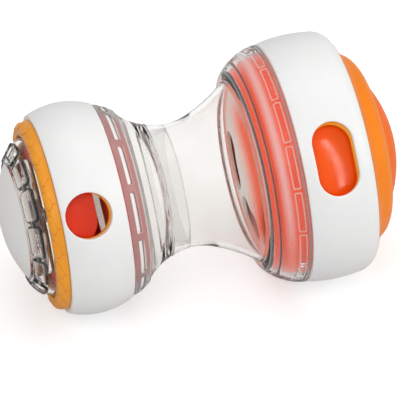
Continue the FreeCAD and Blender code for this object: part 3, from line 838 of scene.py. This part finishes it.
class FEEDER_OT_small_clear_half(bpy.types.Operator):
    """Add the clear funnel and the flange with its pockets of the small half"""

    bl_idname = "feeder.small_clear_half"
    bl_label = "Small Clear Half"

    def execute(self, context):
        sizes = context.scene.feeder_clear
        funnel = [(-21.8, 31.5), (-28.1, 34.8), (-33.5, 39.8)]
        flange = [(-33.5, 39.8), (-37.3, 43.1), (-42.8, 44.9)]
        bm = self.shell(funnel, drawn_in(funnel, -sizes.wall / MM), flange)
        first = context.scene.feeder_small.outlet_angle + math.radians(5.0)
        self.pocket(bm, flange, sizes.pocket_count, first, sizes.pocket_depth / MM)
        add_piece(bm, "clear_small_half", "small_clear_half", "clear_plastic", sharp=40)
        return {"FINISHED"}

    def shell(self, funnel, inside, flange):
        """Spigot, funnel and flange."""
        return spun(traced(
            corner(-12.5, 25.4, 0.2),
            corner(-12.5, 27.2, 0.2),
            corner(-21.8, 27.2),
            corner(*funnel[0], 0.3),
            bow(funnel[1], *funnel[2]),
            bow(flange[1], *flange[2], soft=0.3, spacing=0.3),
            corner(-42.8, 43.8),
            corner(-45.8, 43.8, 0.2),
            corner(-45.8, 41.8, 0.2),
            corner(-41.2, 41.8),
            corner(-34.5, 37.7, 0.2),
            corner(-34.5, 35.0, 0.2),
            bow(inside[1], -21.8, 25.4)), FINE)

    def pocket(self, bm, flange, count, first, depth):
        """Long pockets round the flange, with a bead beside the funnel."""
        pockets_x, bead_x, inner_half_x = -38.35, -34.3, -38.2
        half_width, half_spread = 1.25, math.radians(12.5)

        def outside(x, r, turn):
            """Distance outside the nearest pocket."""
            across = nearest_of(turn, count, first) * r
            return field(x - pockets_x, across, half_width, half_spread * r, 0.4)

        def pocketed(x, r, turn):
            """The pockets, with a raised bead beside the funnel."""
            return 0.3 * near(x - bead_x, 0.6) - depth * ease(-outside(x, r, turn) / 0.35 + 0.5)

        def milky(x, r, turn):
            """White floors in the pockets and some haze round them."""
            return 0.42 + 0.5 * ease(-outside(x, r, turn) / 0.3)

        def dark(x, r, turn):
            """Painted shade round the pockets, with a painted shadow line inside the edge beside the funnel.
            """
            edge = outside(x, r, turn)
            wall = 0.95 * near(edge + 0.3, 0.5) if x > inner_half_x else 0.0
            return max(wall, 0.45 * ease(edge / 0.3))

        emboss(bm, flange, pocketed, frost=milky, shade=dark)


class FEEDER_OT_waist_seal(bpy.types.Operator):
    """Add the soft ring at the waist"""

    bl_idname = "feeder.waist_seal"
    bl_label = "Waist Seal"

    def execute(self, context):
        left, right, inner, outer = -21.75, -20.75, 27.25, 30.9
        bm = spun(traced(
            corner(left, inner),
            corner(left, outer, 0.3),
            corner(right, outer, 0.3),
            corner(right, inner)))
        add_piece(bm, "seal_ring", "waist_seal", "silicone")
        return {"FINISHED"}


class FEEDER_OT_bands(bpy.types.Operator):
    """Add the two white bands with their outlets"""

    bl_idname = "feeder.bands"
    bl_label = "White Bands"

    def execute(self, context):
        self.large_band(context.scene.feeder_large)
        self.small_band(context.scene.feeder_small)
        return {"FINISHED"}

    def large_band(self, sizes):
        """Barrel with a rounded outer corner and the long outlet."""
        crest = sizes.crest / MM
        x0, x1 = 38.0, 38.0 + sizes.band_width / MM
        barrel = [(x0, crest - 1.7), (x0 + 0.38 * (x1 - x0), crest), (x1 - 7.7, crest - 0.7)]
        bm = spun(traced(
            corner(x0, 54.6, 0.2),
            corner(*barrel[0], soft=0.4),
            bow(barrel[1], *barrel[2]),
            bow((x1 - 2.6, crest - 2.2), x1, crest - 4.7, soft=0.4, spacing=0.9),
            corner(x1, 50.0, 0.2),
            corner(67.4, 50.0),
            corner(67.4, 54.6)))
        outlet_x, low = x0 + 15.3, 40.0
        cutter = port_cutter(
            outlet_x, sizes.outlet_width / MM, sizes.outlet_length / MM, self.barrel_height(barrel),
            sizes.rim_softness / MM, low)
        bm = cut_out(bm, turned(cutter, sizes.outlet_angle))
        add_piece(bm, "white_large_band", "large_wheel_band", "white_plastic")

    def small_band(self, sizes):
        """Barrel with the round outlet."""
        crest = sizes.crest / MM
        barrel = [(-43.1, crest - 3.5), (-58.44, crest), (-72.6, crest - 3.0)]
        bm = spun(traced(
            corner(-43.1, 44.1, 0.2),
            corner(*barrel[0], soft=0.4),
            bow(barrel[1], *barrel[2], soft=0.4),
            corner(-72.6, 44.1, 0.2)))
        width, low = 2 * sizes.outlet_radius / MM, 32.0
        cutter = port_cutter(
            SMALL_OUTLET_X, width, width, self.barrel_height(barrel), sizes.rim_softness / MM, low,
            segments=64)
        bm = cut_out(bm, turned(cutter, sizes.outlet_angle))
        add_piece(bm, "white_small_band", "small_wheel_band", "white_plastic")

    def barrel_height(self, points):
        """Height of a barrel's skin above the axis at a place x along it and y beside it."""
        centre, radius = circle_through(*points)

        def height(x, y):
            r = centre[1] + math.sqrt(radius**2 - (x - centre[0]) ** 2)
            return math.sqrt(r**2 - y**2)

        return height


class FEEDER_OT_end_cap(bpy.types.Operator):
    """Add the orange end cap of the large wheel"""

    bl_idname = "feeder.end_cap"
    bl_label = "End Cap"

    def execute(self, context):
        bm = spun(traced(
            corner(69.9, 3.1),
            corner(71.9, 3.1),
            corner(71.9, 28.9, 0.4),
            corner(82.6, 28.9, 0.3),
            corner(82.6, 31.2, 0.3),
            bow((81.3, 37.0), 77.9, 42.1, soft=1.2),
            corner(73.6, 45.1, 1.4),
            corner(70.3, 52.7, 0.5),
            corner(70.3, 49.9),
            corner(67.4, 49.9, 0.3),
            corner(67.4, 47.9, 0.3),
            corner(70.2, 47.9),
            corner(72.0, 43.8),
            corner(76.6, 40.6),
            corner(79.6, 36.0),
            corner(79.6, 30.9),
            corner(69.9, 30.9)))
        add_piece(bm, "orange_end_cap", "large_end_cap", "orange_plastic", sharp=50)
        return {"FINISHED"}


class FEEDER_OT_hub_caps(bpy.types.Operator):
    """Add the domes in the middle of the two wheels"""

    bl_idname = "feeder.hub_caps"
    bl_label = "Hub Caps"

    def execute(self, context):
        large, small = context.scene.feeder_large, context.scene.feeder_small
        bm = self.dome(82.7, 1, large.hub_radius / MM, large.hub_height / MM)
        add_piece(bm, "orange_hub_cap", "large_hub_cap", "deep_orange_plastic")
        bm = self.dome(-87.1, -1, small.hub_radius / MM, small.hub_height / MM)
        add_piece(bm, "pale_hub_cap", "small_hub_cap", "pale_plastic")
        return {"FINISHED"}

    def dome(self, foot, side, radius, height):
        """Round dome with a skirt that plugs into the cup."""
        bulge = (radius**2 + height**2) / (2 * height)
        half = math.asin(radius / bulge) / 2
        through = (foot + side * (height - bulge * (1 - math.cos(half))), bulge * math.sin(half))
        skirt, plug = radius - 2.0, foot - side * 4.5
        inner, ceiling = skirt - 2.0, foot + side * (height - 2.6)
        return spun(traced(
            corner(foot + side * height, 0.0),
            bow(through, foot, radius, soft=0.35, spacing=1.0),
            corner(foot, skirt),
            corner(plug, skirt, 0.3),
            corner(plug, inner, 0.3),
            corner(foot, inner),
            corner(ceiling, 0.4 * radius, 0.8),
            corner(ceiling, 0.0),
            closed=False))


class FEEDER_OT_grip_ring(bpy.types.Operator):
    """Add the orange grip ring with its leaf marks"""

    bl_idname = "feeder.grip_ring"
    bl_label = "Grip Ring"

    def execute(self, context):
        sizes = context.scene.feeder_small
        face = [(-75.0, 43.7), (-77.4, 42.4), (-78.1, 40.2)]
        bm = spun(traced(
            corner(-72.7, 41.7),
            corner(-72.7, 44.3, 0.25),
            corner(*face[0]),
            bow(face[1], *face[2], spacing=0.25),
            corner(-78.1, 38.0, 0.3),
            corner(-76.5, 38.0),
            corner(-76.5, 41.7)), FINE)
        height = sizes.leaf_height / MM
        centre, _, sweep = sweep_between(*face)
        start = math.atan2(face[0][1] - centre[1], face[0][0] - centre[0])

        def inside(x, r, turn):
            """Distance inside the nearest leaf, which leans and has a point at both ends."""
            along = (math.atan2(r - centre[1], x - centre[0]) - start) / sweep * 2 - 1
            across = nearest_of(turn + along * 0.05, sizes.leaf_count, 0.0) * r
            return 4.2 * (1 - along**2) - abs(across)

        def leafed(x, r, turn):
            """The raised leaves."""
            return height * ease(inside(x, r, turn) / 0.8)

        def dark(x, r, turn):
            """Shade along a leaf's edge."""
            return 0.8 * near(inside(x, r, turn), 0.5)

        emboss(bm, face, leafed, shade=dark)
        add_piece(bm, "orange_grip_ring", "small_grip_ring", "light_orange_plastic", sharp=50)
        return {"FINISHED"}


class FEEDER_OT_clear_cover(bpy.types.Operator):
    """Add the clear cover with its chain of raised cells"""

    bl_idname = "feeder.clear_cover"
    bl_label = "Clear Cover"

    def execute(self, context):
        wall = 2.0
        skin = [(-87.0, 26.9), (-82.6, 33.8), (-76.6, 37.7)]
        bm = self.shell(skin, drawn_in(skin, wall))
        self.chain(bm, skin, context.scene.feeder_small)
        add_piece(bm, "clear_cover", "small_clear_cover", "clear_plastic", sharp=40)
        return {"FINISHED"}

    def shell(self, skin, inside):
        """Cup for the pale dome, round skin and flange."""
        return spun(traced(
            corner(-76.0, 3.1),
            corner(-78.0, 3.1),
            corner(-78.0, 24.8, 0.3),
            corner(-87.0, 24.8, 0.3),
            corner(*skin[0], soft=0.25),
            bow(skin[1], *skin[2], spacing=0.22),
            corner(-76.4, 37.7),
            corner(-76.4, 41.6, 0.15),
            corner(-74.6, 41.6, 0.15),
            corner(-74.6, inside[2][1]),
            bow(inside[1], inside[0][0], 26.8, spacing=0.8),
            corner(-76.0, 26.8)), FINE)

    def chain(self, bm, skin, sizes):
        """Chain of raised cells round the skin, a little nearer to the dome than to the ring."""
        centre, radius, sweep = sweep_between(*skin)
        start = math.atan2(skin[0][1] - centre[1], skin[0][0] - centre[0])
        middle = 0.4 * sweep
        middle_r = centre[1] + radius * math.sin(start + middle)
        half = math.pi * middle_r / sizes.cell_count - sizes.cell_gap / MM / 2
        height, width = sizes.cell_height / MM, sizes.cell_width / MM
        first = sizes.outlet_angle + math.radians(15.0)

        def outside(x, r, turn):
            """Distance outside the chain: rounded cells, joined by a narrow rib."""
            along = math.atan2(r - centre[1], x - centre[0]) - start
            u = (along - middle) * radius
            v = nearest_of(turn, sizes.cell_count, first) * middle_r
            return min(field(u, v, width / 2, half, 1.9), max(abs(u) - 0.9, -0.5))

        def chained(x, r, turn):
            """The chain with a steep wall, a raised edge and a lower floor."""
            edge = outside(x, r, turn)
            return height * (ease(0.5 - edge / 0.4) - 0.45 * ease((-edge - 0.9) / 0.4))

        def dark(x, r, turn):
            """Shade along the chain's wall."""
            return 1 - ease((abs(outside(x, r, turn)) - 0.4) / 0.35)

        def milky(x, r, turn):
            """Haze on the wall, and a pale line inside it."""
            return 0.55 * dark(x, r, turn) + 0.35 * near(outside(x, r, turn) + 1.5, 0.45)

        emboss(bm, skin, chained, shade=dark, frost=milky)


class FEEDER_OT_drums(bpy.types.Operator):
    """Add the two red-orange drums with their keyhole ports"""

    bl_idname = "feeder.drums"
    bl_label = "Shutter Drums"

    def execute(self, context):
        self.large_drum(context.scene.feeder_large)
        self.small_drum(context.scene.feeder_small)
        return {"FINISHED"}

    def large_drum(self, sizes):
        """Crowned cup, whose port faces away from the outlet. Its front part, under the clear shoulder,
        carries painted shade and so comes out a deeper red.
        """
        bm = spun(traced(
            corner(61.5, 0.0),
            corner(61.5, 1.8),
            corner(69.5, 1.8),
            corner(69.5, 6.5),
            corner(64.2, 6.5),
            corner(64.2, 50.5),
            corner(62.5, 50.5),
            corner(62.5, 51.0),
            bow((46.75, 51.9), 31.0, 51.0),
            corner(22.65, 45.8),
            corner(22.65, 42.3),
            corner(24.4, 42.3),
            corner(24.4, 42.7),
            corner(32.5, 48.8),
            corner(62.0, 48.8),
            corner(62.0, 6.5),
            corner(59.0, 4.5),
            corner(59.0, 0.0),
            closed=False))
        port_x, facing, low, high = 52.4, sizes.outlet_angle + math.pi, 42.8, 54.9
        margin, half_neck, neck_spread = 0.8, 2.7, math.radians(56.0)
        width, length = sizes.outlet_width / MM - margin, sizes.outlet_length / MM - margin
        hole = port_cutter(port_x, width, length, lambda x, y: 60.0, 0.01, low)
        neck = ring_part(port_x - half_neck, port_x + half_neck, low, high, neck_spread)
        bm = cut_out(bm, turned(hole, facing))
        bm = cut_out(bm, turned(neck, facing + neck_spread / 2))
        front_painted_shade = bm.verts.layers.float.new("shade")
        for vert in bm.verts:
            vert[front_painted_shade] = 0.75 * ease((38.5 - vert.co.x) / 2.0)
        add_piece(bm, "red_large_drum", "large_shutter_drum", "red_orange_plastic")

    def small_drum(self, sizes):
        """Straight cup. The neck of its port and the round corner beside it lie under the outlet."""
        bm = spun(traced(
            corner(-34.6, 35.2),
            corner(-34.6, 37.2),
            corner(-41.4, 41.4),
            corner(-72.3, 41.4),
            corner(-72.3, 40.0),
            corner(-74.0, 40.0),
            corner(-74.0, 6.5),
            corner(-75.6, 6.5),
            corner(-75.6, 1.8),
            corner(-68.8, 1.8),
            corner(-68.8, 4.5),
            corner(-71.8, 6.5),
            corner(-71.8, 39.2),
            corner(-42.6, 39.2),
            corner(-38.4, 35.2)))
        edge, low, high, rounding, neck_width = -56.2, 36.2, 44.4, 11.0, 5.4
        flare = ring_part(edge - rounding, edge, low, high, math.radians(39.0))
        inner = upright_rod(edge - rounding, rounding, low - 1, high + 1)
        flare = cut_out(turned(flare, math.radians(22.5)), turned(inner, math.radians(3.0)))
        neck = ring_part(edge - 0.01, edge + neck_width, low, high, math.radians(62.0))
        neck = turned(neck, math.radians(10.0))
        wide = upright_rod(SMALL_OUTLET_X, sizes.outlet_radius / MM, low, high)
        wide = turned(wide, math.radians(42.0))
        for cutter in (neck, wide, flare):
            bm = cut_out(bm, turned(cutter, sizes.outlet_angle))
        add_piece(bm, "red_small_drum", "small_shutter_drum", "red_plastic")


class FEEDER_OT_liners(bpy.types.Operator):
    """Add the orange liners under the white bands"""

    bl_idname = "feeder.liners"
    bl_label = "Wheel Liners"

    def execute(self, context):
        for wheel in ("large", "small"):
            add_welded(wheel + "_wheel_liner", "orange_" + wheel + "_liner", "light_orange_plastic")
        return {"FINISHED"}


class FEEDER_OT_dividers(bpy.types.Operator):
    """Add the pale disc and the pale cup with their windows"""

    bl_idname = "feeder.dividers"
    bl_label = "Dividers"

    def execute(self, context):
        self.disc()
        add_welded("small_divider_cup", "cream_cup", "cream_plastic")
        return {"FINISHED"}

    def disc(self):
        """Disc with three curved windows. Along its rim, rings of points carry a painted red glow from the
        drum behind it."""
        x0, x1, outer, red_from, red_over = 22.7, 24.3, 42.2, 34.0, 7.5
        rings = (40.5, 39.0, 37.5, 36.0, red_from, 28.0)
        bm = spun(traced(
            corner(x0, 0.0),
            *[corner(x0, r) for r in reversed(rings)],
            corner(x0, outer, 0.2),
            corner(x1, outer, 0.2),
            *[corner(x1, r) for r in rings],
            corner(x1, 0.0),
            closed=False))
        low, high, half_spread = 0.54 * outer, outer - 5.0, math.radians(14.0)
        for angle in (math.radians(116.0), math.pi, math.radians(244.0)):
            bm = cut_out(bm, turned(ring_part(x0 - 5, x1 + 5, low, high, 2 * half_spread), angle))
            for side in (-1, 1):
                end = level_rod(x0, (low + high) / 2, (high - low) / 2, 12.0)
                bm = cut_out(bm, turned(end, angle + side * half_spread))
        # Painted red glow from the drum, stronger towards the rim.
        glow = bm.verts.layers.float.new("shade")
        for vert in bm.verts:
            vert[glow] = 0.9 * ease((math.hypot(vert.co.y, vert.co.z) - red_from) / red_over)
        add_piece(bm, "cream_disc", "large_divider_disc", "cream_plastic")


class FEEDER_OT_fixings(bpy.types.Operator):
    """Give the screws, washers and drag rings their finish"""

    bl_idname = "feeder.fixings"
    bl_label = "Fixings"

    def execute(self, context):
        self.dress("large_cap_screws", finish("steel"))
        for wheel in ("large", "small"):
            self.dress(wheel + "_pivot_screw", finish("steel"))
            self.dress(wheel + "_pivot_washer", finish("steel"))
            self.dress(wheel + "_drag_ring", finish("silicone"))
        return {"FINISHED"}

    def dress(self, node, material):
        """Puts a finish in the slots of a CAD node."""
        if node not in frame["nodes"]:
            raise RuntimeError("the frame has no node named " + node)
        for place in frame["nodes"][node].material_slots:
            place.link = "OBJECT"
            place.material = material


class FEEDER_PT_panel(bpy.types.Panel):
    """Pieces of the toy"""

    bl_label = "Feeder Toy"
    bl_idname = "FEEDER_PT_panel"
    bl_space_type = "VIEW_3D"
    bl_region_type = "UI"
    bl_category = "Feeder Toy"

    def draw(self, context):
        layout = self.layout
        for operator in operators:
            layout.operator(operator.bl_idname)
        for place in groups:
            box = layout.box()
            settings = getattr(context.scene, place)
            for name in settings.bl_rna.properties.keys():
                if name not in ("rna_type", "name"):
                    box.prop(settings, name)


operators = (
    FEEDER_OT_stage,
    FEEDER_OT_large_clear_half,
    FEEDER_OT_small_clear_half,
    FEEDER_OT_waist_seal,
    FEEDER_OT_bands,
    FEEDER_OT_end_cap,
    FEEDER_OT_hub_caps,
    FEEDER_OT_grip_ring,
    FEEDER_OT_clear_cover,
    FEEDER_OT_drums,
    FEEDER_OT_liners,
    FEEDER_OT_dividers,
    FEEDER_OT_fixings,
)
groups = {
    "feeder_large": LargeWheelSizes,
    "feeder_small": SmallWheelSizes,
    "feeder_clear": ClearHalfSizes,
    "feeder_colours": ToyColours,
    "feeder_stage": StageSettings,
}
classes = (*groups.values(), *operators, FEEDER_PT_panel)


def register():
    """Register the settings, the operators and the panel."""
    for each in classes:
        bpy.utils.register_class(each)
    for place, group in groups.items():
        setattr(bpy.types.Scene, place, PointerProperty(type=group))


def unregister():
    """Take the settings, the operators and the panel away again."""
    for place in groups:
        delattr(bpy.types.Scene, place)
    for each in reversed(classes):
        bpy.utils.unregister_class(each)


def main():
    """Build the whole toy."""
    register()
    bpy.ops.feeder.stage()
    bpy.ops.feeder.large_clear_half()
    bpy.ops.feeder.small_clear_half()
    bpy.ops.feeder.waist_seal()
    bpy.ops.feeder.bands()
    bpy.ops.feeder.end_cap()
    bpy.ops.feeder.hub_caps()
    bpy.ops.feeder.grip_ring()
    bpy.ops.feeder.clear_cover()
    bpy.ops.feeder.drums()
    bpy.ops.feeder.liners()
    bpy.ops.feeder.dividers()
    bpy.ops.feeder.fixings()


if __name__ == "__main__":
    main()
